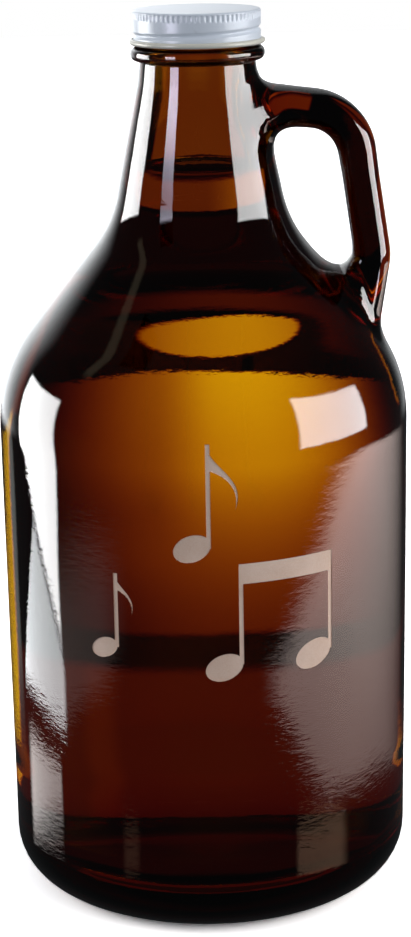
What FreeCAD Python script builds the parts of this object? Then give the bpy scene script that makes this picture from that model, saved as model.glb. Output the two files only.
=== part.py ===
"""Half-gallon glass growler jug with a finger loop, a metal screw cap, its lined disc and the beer.

Frame: +Z up, origin at the centre of the base, +X towards the finger loop, -Y is the decorated front.
Lengths are millimetres and angles degrees.
"""
import FreeCAD, Part
import math
import os
import Sketcher

SHEET = "dimensions"
SIZES = {
    # bottle outside, given as the corners that the fillets round
    "heel_radius": 64.5, "heel_fillet": 16.8,
    "shoulder_radius": 65.3, "shoulder_height": 170.6, "shoulder_fillet": 47.3,
    "neck_base_radius": 27.7, "neck_base_height": 217.2, "neck_fillet": 37.3,
    "neck_top_radius": 18.6, "neck_top_height": 261.0, "bead_neck_radius": 18.0,
    "bead_radius": 20.9, "bead_bottom": 267.3, "bead_top": 271.6, "bead_fillet": 1.9,
    "finish_radius": 17.6, "lip_height": 281.3, "lip_fillet": 1.2,
    # base push-up and the ring that the bottle stands on
    "bearing_radius": 43.0, "push_up_radius": 36.0, "push_up_edge": 2.2, "push_up_height": 4.0,
    # bottle inside
    "wall": 4.2, "floor_height": 12.0, "inner_heel_fillet": 13.0, "bore_radius": 14.2,
    "inner_neck_height": 258.0, "cut_past": 5.0,
    # finger loop: its centre line's corners, their bends and its oval section
    "arm_height": 255.0, "arm_corner_x": 47.2, "arm_corner_z": 250.3, "arm_bend": 15.5,
    "grip_corner_x": 54.2, "grip_corner_z": 205.5, "grip_bend": 12.0, "root_x": 49.0, "root_height": 178.0,
    "loop_half_depth": 6.1, "loop_half_width": 8.2, "arm_root_fillet": 4.0, "grip_root_fillet": 4.0,
    # screw thread, shared by the glass and the cap
    "pitch": 4.233, "thread_rise": 4.2,
    "thread_radius": 18.7, "thread_half_base": 1.15, "thread_half_crest": 0.45,
    "thread_low": 274.45, "thread_start_angle": -39.0,
    # cap
    "cap_radius": 19.7, "cap_gauge": 0.3, "cap_bottom": 272.25, "cap_top": 282.7, "cap_rim_fillet": 0.7,
    "curl_radius": 0.85, "curl_end_angle": 115.0,
    "knurl_height": 2.7, "knurl_count": 75, "knurl_radius": 0.9, "knurl_depth": 0.13,
    "cap_thread_radius": 18.1, "cap_thread_half_base": 1.0, "cap_thread_half_crest": 0.4,
    "cap_thread_low": 274.5, "cap_thread_start_angle": 142.4,
    # lined disc in the cap
    "liner_radius": 18.9, "board_gauge": 0.8, "facing_gauge": 0.25, "fit_gap": 0.02,
    # beer
    "fill_height": 234.0, "beer_gap": 0.05,
    # frosted notes on the front: places and sizes seen from the front
    "etch_depth": 0.15, "stencil_near": 35.0, "stencil_reach": 40.0, "stem_width": 1.3, "head_tilt": 22.0,
    "large_head_x": -4.3, "large_head_z": 129.1, "large_head_length": 5.9, "large_head_height": 4.1,
    "large_stem_x": 0.2, "large_stem_top": 161.2, "large_flag": 19.4,
    "small_head_x": -31.4, "small_head_z": 95.9, "small_head_length": 4.6, "small_head_height": 3.1,
    "small_stem_x": -28.2, "small_stem_top": 120.1, "small_flag": 12.6,
    "pair_head_length": 6.0, "pair_head_height": 4.1, "beam_depth": 6.4,
    "left_head_x": 5.1, "left_head_z": 91.3, "left_stem_x": 9.8, "left_stem_top": 123.9,
    "right_head_x": 32.4, "right_head_z": 92.5, "right_stem_x": 37.0, "right_stem_top": 124.6,
}

doc = FreeCAD.newDocument("growler")
sheet = doc.addObject("Spreadsheet::Sheet", SHEET)
for row, (alias, value) in enumerate(SIZES.items(), start=1):
    sheet.set(f"A{row}", alias)
    sheet.set(f"B{row}", str(value))
    sheet.setAlias(f"B{row}", alias)
doc.recompute()


# ---- sizes and sketches -------------------------------------------------------------------------

def size(formula):
    """The value of a formula in the sheet's aliases."""
    value = sheet.evalExpression(formula)
    return float(getattr(value, "Value", value))


def bound(formula):
    """The formula with each alias written as a cell of the sheet, for setExpression."""
    words = formula.replace("(", " ( ").replace(")", " ) ").split()
    return " ".join(f"{SHEET}.{word}" if word in SIZES else word for word in words)


def drive(item, name, formula):
    item.setExpression(name, bound(formula))


def new_body(name):
    body = doc.addObject("PartDesign::Body", name)
    body.Label = name
    return body


def new_sketch(body, name, role="XZ_Plane", forward=0.0, turn=0.0):
    """A sketch on one of the body's origin planes, moved along its normal and turned about its upright."""
    sketch = body.newObject("Sketcher::SketchObject", name)
    plane = next(feature for feature in body.Origin.OriginFeatures if feature.Role == role)
    sketch.AttachmentSupport = (plane, [""])
    sketch.MapMode = "FlatFace"
    turned = FreeCAD.Rotation(FreeCAD.Vector(0, 1, 0), turn)
    sketch.AttachmentOffset = FreeCAD.Placement(FreeCAD.Vector(0, 0, forward), turned)
    return sketch


def constrain(sketch, kind, *places):
    return sketch.addConstraint(Sketcher.Constraint(kind, *places))


def measure(sketch, kind, *places):
    """A dimension whose last place is the formula that drives it."""
    formula = places[-1]
    number = sketch.addConstraint(Sketcher.Constraint(kind, *places[:-1], size(formula)))
    drive(sketch, f"Constraints[{number}]", formula)


def pin(sketch, edge, end, across, up):
    """Hold one point of an edge at two formulas, measured from the sketch's origin."""
    for kind, axis, formula in (("DistanceX", -2, across), ("DistanceY", -1, up)):
        if formula == "0":
            constrain(sketch, "PointOnObject", edge, end, axis)
        else:
            measure(sketch, kind, -1, 1, edge, end, formula)


def vector(across, up):
    return FreeCAD.Vector(size(across), size(up), 0)


def outline(sketch, corners):
    """A closed outline of straight edges through corners, each a pair of formulas."""
    count = len(corners)
    for i in range(count):
        line = Part.LineSegment(vector(*corners[i]), vector(*corners[(i + 1) % count]))
        sketch.addGeometry(line, False)
    for i in range(count):
        constrain(sketch, "Coincident", i, 2, (i + 1) % count, 1)
    for i, corner in enumerate(corners):
        pin(sketch, i, 1, *corner)


def bend(sketch, first, second, corner, radius):
    """Round a corner of an open line with an arc, and keep the corner where it is pinned."""
    before = (sketch.Geometry[first].StartPoint + corner) * 0.5
    after = (sketch.Geometry[second].EndPoint + corner) * 0.5
    sketch.fillet(first, second, before, after, size(radius), True, True)
    arcs = [i for i, edge in enumerate(sketch.Geometry) if isinstance(edge, Part.ArcOfCircle)]
    measure(sketch, "Radius", arcs[-1], radius)


# ---- features -----------------------------------------------------------------------------------

def turned(body, name, corners):
    """A solid of revolution about the bottle's axis."""
    sketch = new_sketch(body, f"{name}_outline")
    outline(sketch, corners)
    feature = body.newObject("PartDesign::Revolution", name)
    feature.Profile = (sketch, [""])
    feature.ReferenceAxis = (sketch, ["V_Axis"])
    feature.Angle = 360
    doc.recompute()
    return feature


def ring_edges(feature, places):
    """The names of the circular edges at the given radius and height formulas."""
    names = []
    for number, edge in enumerate(feature.Shape.Edges, start=1):
        if not isinstance(edge.Curve, Part.Circle):
            continue
        radius, height = edge.Curve.Radius, edge.Curve.Center.z
        if any(abs(radius - size(r)) < 0.01 and abs(height - size(z)) < 0.01 for r, z in places):
            names.append(f"Edge{number}")
    return names


def rounded(body, base, name, radius, edges):
    feature = body.newObject("PartDesign::Fillet", name)
    feature.Base = (base, edges)
    drive(feature, "Radius", radius)
    doc.recompute()
    return feature


def helix(body, name, kind, corners, start_angle):
    """A thread: a profile swept round the axis, right-handed, from its low end at start_angle."""
    sketch = new_sketch(body, f"{name}_profile", turn=size(start_angle))
    outline(sketch, corners)
    feature = body.newObject(f"PartDesign::{kind}Helix", name)
    feature.Profile = (sketch, [""])
    feature.ReferenceAxis = (sketch, ["V_Axis"])
    feature.Mode = "pitch-height-angle"
    drive(feature, "Pitch", "pitch")
    drive(feature, "Height", "thread_rise")
    doc.recompute()
    return feature


def join(kind, name, base, tool):
    """Part::Cut, Part::Common or Part::Fuse of two shapes of the document."""
    feature = doc.addObject(f"Part::{kind}", name)
    feature.Base = base
    feature.Tool = tool
    doc.recompute()
    return feature


# ---- bottle -------------------------------------------------------------------------------------

def outside(name, inset):
    """The bottle's outer form as a filled solid, its sides moved in by a formula."""
    body = new_body(name)
    heel = (f"heel_radius - {inset}", "0")
    shoulder = (f"shoulder_radius - {inset}", "shoulder_height")
    neck = (f"neck_base_radius - {inset}", "neck_base_height")
    corners = [
        ("0", "push_up_height"),
        ("push_up_radius", "push_up_edge"),
        ("bearing_radius", "0"),
        heel,
        shoulder,
        neck,
        (f"neck_top_radius - {inset}", "neck_top_height"),
        (f"bead_neck_radius - {inset}", "bead_bottom"),
        ("bead_radius", "bead_bottom"),
        ("bead_radius", "bead_top"),
        ("finish_radius", "bead_top"),
        ("finish_radius", "lip_height"),
        ("0", "lip_height"),
    ]
    form = turned(body, f"{name}_form", corners)
    bead = [("bead_radius", "bead_bottom"), ("bead_radius", "bead_top")]
    for part, radius, places in (
        ("heel", "heel_fillet", [heel]),
        ("shoulder", "shoulder_fillet", [shoulder]),
        ("neck", "neck_fillet", [neck]),
        ("bead", "bead_fillet", bead),
    ):
        form = rounded(body, form, f"{name}_{part}", radius, ring_edges(form, places))
    return body


def loop_path(body):
    """The finger loop's centre line: out from the neck, down the grip and into the shoulder."""
    path = new_sketch(body, "loop_path")
    stops = [
        ("0", "arm_height"),
        ("arm_corner_x", "arm_corner_z"),
        ("grip_corner_x", "grip_corner_z"),
        ("root_x", "root_height"),
    ]
    points = [vector(*stop) for stop in stops]
    for start, end in zip(points, points[1:]):
        path.addGeometry(Part.LineSegment(start, end), False)
    for i in range(2):
        constrain(path, "Coincident", i, 2, i + 1, 1)
    for i, stop in enumerate(stops[:-1]):
        pin(path, i, 1, *stop)
    pin(path, 2, 2, *stops[-1])
    bend(path, 0, 1, points[1], "arm_bend")
    bend(path, 1, 2, points[2], "grip_bend")
    return path


def loop_section(body):
    """The loop's oval section where its centre line leaves the bottle's axis."""
    sketch = new_sketch(body, "loop_section", "YZ_Plane")
    radius, height = size("loop_half_depth"), size("arm_height")
    offset = size("loop_half_width") - radius
    ends = []
    for side, start in ((1, -math.pi / 2), (-1, math.pi / 2)):
        circle = Part.Circle(FreeCAD.Vector(side * offset, height, 0), FreeCAD.Vector(0, 0, 1), radius)
        ends.append(sketch.addGeometry(Part.ArcOfCircle(circle, start, start + math.pi), False))
    right, left = ends
    for side in (1, -1):
        start = FreeCAD.Vector(side * offset, height + side * radius, 0)
        end = FreeCAD.Vector(-side * offset, height + side * radius, 0)
        sketch.addGeometry(Part.LineSegment(start, end), False)
    top, bottom = 2, 3
    constrain(sketch, "Tangent", right, 2, top, 1)
    constrain(sketch, "Tangent", top, 2, left, 1)
    constrain(sketch, "Tangent", left, 2, bottom, 1)
    constrain(sketch, "Tangent", bottom, 2, right, 1)
    constrain(sketch, "Horizontal", top)
    measure(sketch, "Radius", right, "loop_half_depth")
    constrain(sketch, "Symmetric", left, 3, right, 3, -2)
    measure(sketch, "DistanceX", -1, 1, right, 3, "loop_half_width - loop_half_depth")
    measure(sketch, "DistanceY", -1, 1, right, 3, "arm_height")
    return sketch


def meeting_edges(feature, low, high):
    """The curved edges between two heights where the finger loop meets the bottle."""
    names = []
    for number, edge in enumerate(feature.Shape.Edges, start=1):
        middle = edge.CenterOfMass
        crossing = isinstance(edge.Curve, Part.BSplineCurve) and edge.BoundBox.YLength > 1.0
        if crossing and low < middle.z < high and middle.x > size("bore_radius"):
            names.append(f"Edge{number}")
    return names


def finger_loop(body):
    """The finger loop swept round its centre line, with filleted roots at the neck and shoulder."""
    loop = body.newObject("PartDesign::AdditivePipe", "finger_loop")
    loop.Profile = (loop_section(body), [""])
    loop.Spine = (loop_path(body), [""])
    doc.recompute()
    arm = meeting_edges(loop, size("arm_height") - 12, size("arm_height") + 12)
    loop = rounded(body, loop, "arm_root", "arm_root_fillet", arm)
    grip = meeting_edges(loop, size("root_height"), size("grip_corner_z"))
    return rounded(body, loop, "grip_root", "grip_root_fillet", grip)


def glass_thread(body):
    """One turn of the bottle's thread, its root a little inside the finish so that it fuses."""
    low, root = "thread_low", "finish_radius - 0.3"
    corners = [
        (root, f"{low} - thread_half_base"),
        ("thread_radius", f"{low} - thread_half_crest"),
        ("thread_radius", f"{low} + thread_half_crest"),
        (root, f"{low} + thread_half_base"),
    ]
    return helix(body, "glass_thread", "Additive", corners, "thread_start_angle")


def cavity(name, gap, top):
    """The space inside the glass as a solid, smaller all round by gap and closed at a height."""
    body = new_body(name)
    heel = (f"heel_radius - wall - {gap}", f"floor_height + {gap}")
    shoulder = (f"shoulder_radius - wall - {gap}", "shoulder_height")
    neck = (f"neck_base_radius - wall - {gap}", "neck_base_height")
    corners = [("0", f"floor_height + {gap}"), heel, shoulder, neck]
    if size(top) > size("inner_neck_height"):
        corners.append((f"bore_radius - {gap}", "inner_neck_height"))
        corners.append((f"bore_radius - {gap}", top))
    else:
        narrowing = "( neck_base_radius - wall - bore_radius ) / ( inner_neck_height - neck_base_height )"
        corners.append((f"neck_base_radius - wall - {gap} - ( {top} - neck_base_height ) * {narrowing}", top))
    corners.append(("0", top))
    form = turned(body, f"{name}_form", corners)
    for part, radius, place in (
        ("heel", "inner_heel_fillet", heel),
        ("shoulder", "shoulder_fillet - wall", shoulder),
        ("neck", "neck_fillet", neck),
    ):
        form = rounded(body, form, f"{name}_{part}", radius, ring_edges(form, [place]))
    return body


# ---- frosted notes ------------------------------------------------------------------------------

def note_head(name, across, up, length, height):
    """A tilted oval, run from inside the bottle out past its front."""
    oval = doc.addObject("Part::Ellipse", f"{name}_oval")
    drive(oval, "MajorRadius", length)
    drive(oval, "MinorRadius", height)
    upright = FreeCAD.Rotation(FreeCAD.Vector(1, 0, 0), 90)
    tilt = FreeCAD.Rotation(FreeCAD.Vector(0, 1, 0), -size("head_tilt"))
    oval.Placement = FreeCAD.Placement(FreeCAD.Vector(), tilt * upright)
    drive(oval, "Placement.Base.x", across)
    drive(oval, "Placement.Base.y", "0 - stencil_near")
    drive(oval, "Placement.Base.z", up)
    head = doc.addObject("Part::Extrusion", name)
    head.Base = oval
    head.Dir = FreeCAD.Vector(0, -1, 0)
    drive(head, "LengthFwd", "stencil_reach")
    head.Solid = True
    return head


def note_stem(name, across, low, high):
    """An upright bar centred on across."""
    stem = doc.addObject("Part::Box", name)
    drive(stem, "Length", "stem_width")
    drive(stem, "Width", "stencil_reach")
    drive(stem, "Height", f"{high} - {low}")
    drive(stem, "Placement.Base.x", f"{across} - stem_width / 2")
    drive(stem, "Placement.Base.y", "0 - stencil_near - stencil_reach")
    drive(stem, "Placement.Base.z", low)
    return stem


def extruded_face(name, edges):
    """A solid run forward from a face in the XZ plane, made from the sheet's sizes."""
    face = Part.Face(Part.Wire(edges))
    face.translate(FreeCAD.Vector(0, -size("stencil_near"), 0))
    feature = doc.addObject("Part::Feature", name)
    feature.Shape = face.extrude(FreeCAD.Vector(0, -size("stencil_reach"), 0))
    return feature


def note_flag(name, across, top, drop):
    """A curved flag that falls from the stem's top to a point."""
    x, z, d = size(across), size(top), size(drop)

    def at(right, down):
        return FreeCAD.Vector(x + right * d, 0, z - down * d)

    outer = Part.Arc(at(0.0, 0.0), at(0.40, 0.44), at(0.48, 1.0)).toShape()
    inner = Part.Arc(at(0.48, 1.0), at(0.30, 0.58), at(0.0, 0.38)).toShape()
    stem_side = Part.makeLine(at(0.0, 0.38), at(0.0, 0.0))
    return extruded_face(name, [outer, inner, stem_side])


def note_beam(name):
    """The sloping bar that joins the tops of the paired notes."""
    half = size("stem_width") / 2
    left, right = size("left_stem_x") - half, size("right_stem_x") + half
    tops = [(left, size("left_stem_top")), (right, size("right_stem_top"))]
    depth = size("beam_depth")
    corners = tops + [(x, z - depth) for x, z in reversed(tops)]
    points = [FreeCAD.Vector(x, 0, z) for x, z in corners]
    edges = [Part.makeLine(points[i], points[(i + 1) % 4]) for i in range(4)]
    return extruded_face(name, edges)


def stencil():
    """Every note as one set of solids that cross the bottle's front."""
    shapes = []
    for note in ("large", "small"):
        across, up = f"{note}_head_x", f"{note}_head_z"
        shapes.append(note_head(f"{note}_head", across, up, f"{note}_head_length", f"{note}_head_height"))
        shapes.append(note_stem(f"{note}_stem", f"{note}_stem_x", up, f"{note}_stem_top"))
        shapes.append(note_flag(f"{note}_flag", f"{note}_stem_x", f"{note}_stem_top", f"{note}_flag"))
    for side in ("left", "right"):
        across, up = f"{side}_head_x", f"{side}_head_z"
        shapes.append(note_head(f"{side}_head", across, up, "pair_head_length", "pair_head_height"))
        shapes.append(note_stem(f"{side}_stem", f"{side}_stem_x", up, f"{side}_stem_top - 1"))
    shapes.append(note_beam("pair_beam"))
    doc.recompute()
    notes = doc.addObject("Part::MultiFuse", "stencil")
    notes.Shapes = shapes
    doc.recompute()
    return notes


def make_bottle():
    """The jug: filled form with its loop and thread, less the cavity, less the frosted recesses."""
    form = outside("blank", "0")
    finger_loop(form)
    thread = glass_thread(form)
    lip = ring_edges(thread, [("finish_radius", "lip_height")])
    rounded(form, thread, "lip", "lip_fillet", lip)
    hollow = join("Cut", "hollow_jug", form, cavity("void", "0", "lip_height + cut_past"))
    skin = join("Cut", "front_skin", outside("full", "0"), outside("inset", "etch_depth"))
    recesses = join("Common", "recesses", skin, stencil())
    return join("Cut", "bottle", hollow, recesses)


# ---- cap ----------------------------------------------------------------------------------------

def cap_sheet(body):
    """The drawn sheet: flat top, straight skirt and the curl rolled outwards at its foot."""
    sketch = new_sketch(body, "cap_outline")
    gauge, skirt, roll = size("cap_gauge"), size("cap_radius"), size("curl_radius")
    top, foot = size("cap_top"), size("cap_bottom") + size("curl_radius")
    centre = FreeCAD.Vector(skirt - gauge + roll, foot, 0)
    start, end = math.pi, 2 * math.pi + math.radians(size("curl_end_angle"))
    normal = FreeCAD.Vector(0, 0, 1)
    big = Part.ArcOfCircle(Part.Circle(centre, normal, roll), start, end)
    small = Part.ArcOfCircle(Part.Circle(centre, normal, roll - gauge), start, end)
    points = {
        "axis_low": FreeCAD.Vector(0, top - gauge, 0), "axis_high": FreeCAD.Vector(0, top, 0),
        "rim": FreeCAD.Vector(skirt, top, 0), "inner_rim": FreeCAD.Vector(skirt - gauge, top - gauge, 0),
        "foot_in": FreeCAD.Vector(skirt - gauge, foot, 0), "foot_out": FreeCAD.Vector(skirt, foot, 0),
    }
    run = ["foot_out", "rim", "axis_high", "axis_low", "inner_rim", "foot_in"]
    for first, second in zip(run, run[1:]):
        sketch.addGeometry(Part.LineSegment(points[first], points[second]), False)
    outer = sketch.addGeometry(big, False)
    inner = sketch.addGeometry(small, False)
    tip = sketch.addGeometry(Part.LineSegment(big.EndPoint, small.EndPoint), False)
    for i in range(4):
        constrain(sketch, "Coincident", i, 2, i + 1, 1)
    constrain(sketch, "Tangent", 4, 2, outer, 1)
    constrain(sketch, "Coincident", 0, 1, inner, 1)
    constrain(sketch, "Coincident", outer, 3, inner, 3)
    constrain(sketch, "Coincident", outer, 2, tip, 1)
    constrain(sketch, "Coincident", inner, 2, tip, 2)
    constrain(sketch, "Horizontal", inner, 1, outer, 1)
    pin(sketch, 0, 2, "cap_radius", "cap_top")
    pin(sketch, 1, 2, "0", "cap_top")
    pin(sketch, 2, 2, "0", "cap_top - cap_gauge")
    pin(sketch, 3, 2, "cap_radius - cap_gauge", "cap_top - cap_gauge")
    measure(sketch, "Radius", outer, "curl_radius")
    measure(sketch, "Radius", inner, "curl_radius - cap_gauge")
    measure(sketch, "DistanceY", -1, 1, outer, 3, "cap_bottom + curl_radius")
    measure(sketch, "DistanceX", tip, 1, outer, 3, "0.4226 * curl_radius")
    sheet_metal = body.newObject("PartDesign::Revolution", "cap_sheet")
    sheet_metal.Profile = (sketch, [""])
    sheet_metal.ReferenceAxis = (sketch, ["V_Axis"])
    sheet_metal.Angle = 360
    doc.recompute()
    return sheet_metal


def knurl(body):
    """Upright flutes pressed into the top of the skirt, one cut and repeated round the cap."""
    sketch = new_sketch(body, "flute_outline", "XY_Plane", forward=size("cap_top"))
    reach = "cap_radius + knurl_radius - knurl_depth"
    circle = Part.Circle(vector(reach, "0"), FreeCAD.Vector(0, 0, 1), size("knurl_radius"))
    flute_circle = sketch.addGeometry(circle, False)
    pin(sketch, flute_circle, 3, reach, "0")
    measure(sketch, "Radius", flute_circle, "knurl_radius")
    flute = body.newObject("PartDesign::Pocket", "flute")
    flute.Profile = (sketch, [""])
    drive(flute, "Length", "knurl_height")
    doc.recompute()
    ring = body.newObject("PartDesign::PolarPattern", "knurl")
    ring.Originals = [flute]
    ring.Axis = (sketch, ["N_Axis"])
    ring.Angle = 360
    drive(ring, "Occurrences", "knurl_count")
    body.Tip = ring
    doc.recompute()
    return ring


def cap_thread(body):
    """The thread rolled into the skirt: a ridge inside and the groove it leaves outside."""
    low, wall = "cap_thread_low", "cap_radius - cap_gauge / 2"
    ridge = [
        (wall, f"{low} - cap_thread_half_base"),
        (wall, f"{low} + cap_thread_half_base"),
        ("cap_thread_radius", f"{low} + cap_thread_half_crest"),
        ("cap_thread_radius", f"{low} - cap_thread_half_crest"),
    ]
    helix(body, "rolled_ridge", "Additive", ridge, "cap_thread_start_angle")
    past, floor = "cap_radius + cap_gauge", "cap_thread_radius + cap_gauge"
    groove = [
        (past, f"{low} - cap_thread_half_base + cap_gauge / 2"),
        (past, f"{low} + cap_thread_half_base - cap_gauge / 2"),
        (floor, f"{low} + cap_thread_half_crest / 2"),
        (floor, f"{low} - cap_thread_half_crest / 2"),
    ]
    return helix(body, "rolled_groove", "Subtractive", groove, "cap_thread_start_angle")


def make_cap():
    """The pressed cap: sheet, rounded rim, knurl and rolled thread."""
    body = new_body("cap_shell")
    form = cap_sheet(body)
    rim = ring_edges(form, [("cap_radius", "cap_top")])
    form = rounded(body, form, "cap_rim", "cap_rim_fillet", rim)
    inner_rim = ring_edges(form, [("cap_radius - cap_gauge", "cap_top - cap_gauge")])
    rounded(body, form, "cap_inner_rim", "cap_rim_fillet - cap_gauge", inner_rim)
    plain = body.Shape.Volume
    knurl(body)
    if not body.Shape.Volume < plain:
        raise RuntimeError("the knurl cuts nothing")
    cap_thread(body)
    return body


# ---- liner and beer -----------------------------------------------------------------------------

def disc(name, gauge, low):
    """A flat disc of the liner, standing on a height formula."""
    layer = doc.addObject("Part::Cylinder", name)
    layer.Label = name
    drive(layer, "Radius", "liner_radius")
    drive(layer, "Height", gauge)
    drive(layer, "Placement.Base.z", low)
    return layer


def make_liner():
    """The board under the cap's top and the sealing film bonded to the board's underside."""
    board_low = "cap_top - cap_gauge - fit_gap - board_gauge"
    board = disc("liner_board", "board_gauge", board_low)
    facing = disc("liner_facing", "facing_gauge", f"{board_low} - facing_gauge")
    return [board, facing]


def check_all(pieces):
    """Stop if any feature failed or any piece isn't one sound solid."""
    for item in doc.Objects:
        if {"Invalid", "Error"} & set(item.State):
            raise RuntimeError(f"{item.Name} failed: {item.State}")
    for piece in pieces:
        shape = piece.Shape
        if shape.isNull() or not shape.isValid() or len(shape.Solids) != 1:
            raise RuntimeError(f"{piece.Label} isn't one valid solid")


def main():
    pieces = [make_bottle(), make_cap(), *make_liner(), cavity("beer", "beer_gap", "fill_height")]
    doc.recompute()
    check_all(pieces)
    os.makedirs("parts", exist_ok=True)
    for piece in pieces:
        piece.Shape.exportStep(f"parts/{piece.Label}.step")
        print(piece.Label, round(piece.Shape.Volume, 1), "mm3")


main()
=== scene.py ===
"""Looks of the growler: amber glass with its finger loop, frosted notes, beer and a lined metal cap.

The axes are the frame's own: +Z up, +X towards the finger loop, -Y the decorated front.
Lengths are millimetres up to new_piece(), which turns them into the frame's metres.
"""
import math

import bmesh
import bpy
import numpy as np
from mathutils import Matrix, Vector


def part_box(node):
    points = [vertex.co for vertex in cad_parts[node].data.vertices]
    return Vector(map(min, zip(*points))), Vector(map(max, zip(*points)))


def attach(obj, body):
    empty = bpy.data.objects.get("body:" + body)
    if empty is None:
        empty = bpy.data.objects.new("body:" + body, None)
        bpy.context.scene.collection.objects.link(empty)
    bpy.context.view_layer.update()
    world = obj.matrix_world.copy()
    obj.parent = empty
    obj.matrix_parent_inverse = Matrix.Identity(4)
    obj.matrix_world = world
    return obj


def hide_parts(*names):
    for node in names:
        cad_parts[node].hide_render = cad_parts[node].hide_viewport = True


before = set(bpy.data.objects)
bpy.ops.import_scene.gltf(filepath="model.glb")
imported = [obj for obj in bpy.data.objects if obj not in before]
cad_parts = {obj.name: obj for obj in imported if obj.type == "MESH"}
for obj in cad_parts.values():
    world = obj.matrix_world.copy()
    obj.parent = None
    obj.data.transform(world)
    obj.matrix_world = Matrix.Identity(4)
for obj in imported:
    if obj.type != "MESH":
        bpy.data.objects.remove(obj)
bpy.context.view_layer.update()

MM = 0.001
GLASS_IOR = 1.52
BEER_IOR = 1.345

# ---- sizes in millimetres ----

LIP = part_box("bottle")[1].z / MM
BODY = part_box("bottle")[1].x / MM
CAP_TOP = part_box("cap_shell")[1].z / MM
CAP_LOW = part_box("cap_shell")[0].z / MM
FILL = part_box("beer")[1].z / MM
BORE = 14.2
FINISH = 17.6
LIP_MIDDLE = (FINISH + BORE) / 2
BEAD, BEAD_LOW, BEAD_TOP, BEAD_ROUND = 20.9, 267.3, 271.6, 1.95
NECK_FOOT, NECK_FOOT_UP, NECK_FOOT_ROUND = 27.7, 217.2, 37.3
SHOULDER_UP, SHOULDER_ROUND = 170.6, 47.3
HEEL = 64.5
WALL = 4.2
FLOOR = 12.0
FLOOR_CROWN = 0.8
PITCH = 4.233
THREAD_LOW = 274.5
THREAD_PLAY = 0.05
EVEN_UP = 262
MENISCUS = 1.5
NOTES_LOW, NOTES_HIGH = 80, 168
COLUMNS = 240

# ---- outlines ----


def rounded_line(corners, step):
    """Points along straight runs whose corners (across, up, radius) are rounded by arcs.

    step(up) is the longest gap between points at a height."""
    spans = [[np.array(corners[0][:2], float)]]
    for before, corner, after in zip(corners, corners[1:], corners[2:]):
        here = np.array(corner[:2], float)
        back = np.array(before[:2], float) - here
        on = np.array(after[:2], float) - here
        back_way, on_way = back / np.linalg.norm(back), on / np.linalg.norm(on)
        half = math.acos(np.clip(back_way @ on_way, -1, 1)) / 2
        radius = corner[2]
        if radius <= 0 or half > math.pi / 2 - 1e-3:
            spans.append([here])
            continue
        reach = radius / math.tan(half)
        middle_way = (back_way + on_way) / np.linalg.norm(back_way + on_way)
        centre = here + middle_way * radius / math.sin(half)
        start, end = here + back_way * reach - centre, here + on_way * reach - centre
        turn = math.atan2(start[0] * end[1] - start[1] * end[0], start @ end)
        count = max(2, math.ceil(abs(turn) * radius / min(step(here[1]), radius * 0.2)))
        arc = []
        for i in range(count + 1):
            angle = turn * i / count
            cosine, sine = math.cos(angle), math.sin(angle)
            arc.append(centre + [start[0] * cosine - start[1] * sine, start[0] * sine + start[1] * cosine])
        spans.append(arc)
    spans.append([np.array(corners[-1][:2], float)])
    points = []
    for span, following in zip(spans, spans[1:]):
        points += span
        gap = following[0] - span[-1]
        count = max(1, math.ceil(np.linalg.norm(gap) / step(span[-1][1])))
        points += [span[-1] + gap * i / count for i in range(1, count)]
    points += spans[-1]
    return np.array(points)


def glass_step(up):
    """Closer rows on the finish, where the thread is."""
    return 0.45 if up > EVEN_UP else 2.6


def bore_step(up):
    """Closer rows in the mouth."""
    return 1.2 if up > 256 else 3.2


def outer_outline():
    """Base centre, push-up, bearing ring, heel, body, shoulder, neck, bead, finish and half the lip."""
    return rounded_line([
        (0, 4.0, 0), (34, 2.6, 60), (43, 0, 9), (HEEL, 0, 16.8),
        (BODY, SHOULDER_UP, SHOULDER_ROUND), (NECK_FOOT, NECK_FOOT_UP, NECK_FOOT_ROUND),
        (18.6, 261, 12), (18.0, BEAD_LOW, 0.6), (BEAD, BEAD_LOW, BEAD_ROUND),
        (BEAD, BEAD_TOP, BEAD_ROUND), (FINISH, BEAD_TOP, 0.5), (FINISH, LIP, 1.1), (LIP_MIDDLE, LIP, 0),
    ], glass_step)


def inner_outline():
    """From the middle of the lip down the bore to the middle of the floor."""
    return rounded_line([
        (LIP_MIDDLE, LIP, 0), (BORE, LIP, 1.1), (BORE, 258, 60),
        (NECK_FOOT - WALL, NECK_FOOT_UP, NECK_FOOT_ROUND),
        (BODY - WALL, SHOULDER_UP, SHOULDER_ROUND - WALL), (HEEL - WALL, FLOOR, 13),
        (0, FLOOR + FLOOR_CROWN, 0),
    ], bore_step)


def climbing(outline):
    """The outside from above the heel to below the bead, where it only climbs."""
    return outline[(outline[:, 1] > 30) & (outline[:, 1] < 266)]


def across_at(outline, up):
    """The radius at a height, on an outline that only climbs."""
    return np.interp(up, outline[:, 1], outline[:, 0])


def columns():
    """Angles round the axis, closer at the two mould seams in the loop's plane."""
    angles = list(np.arange(COLUMNS) * 2 * math.pi / COLUMNS)
    for seam in (0, math.pi):
        angles += [seam + side * math.radians(turn) for side in (-1, 1) for turn in (0.22, 0.45)]
    return np.sort(np.array(angles) % (2 * math.pi))


# ---- surface detail of the glass, all in millimetres ----


def ease(value, low, high):
    """0 below low, 1 above high, smooth between."""
    share = np.clip((value - low) / (high - low), 0, 1)
    return share * share * (3 - 2 * share)


def waviness(angle, up, depth):
    """Slow unevenness of blown glass, fading out on the base and the finish."""
    wave = (
        np.sin(3 * angle + 0.9 + up / 41)
        + 0.8 * np.sin(2 * angle - 1.1 - up / 23)
        + 0.6 * np.sin(5 * angle + 2.3 + up / 17)
        + 0.4 * np.sin(8 * angle - 0.4 - up / 13)
        + 0.3 * np.sin(13 * angle + 1.9 + up / 9)
    )
    return depth * wave / 3.1 * ease(up, 8, 30) * (1 - ease(up, 240, EVEN_UP))


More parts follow.
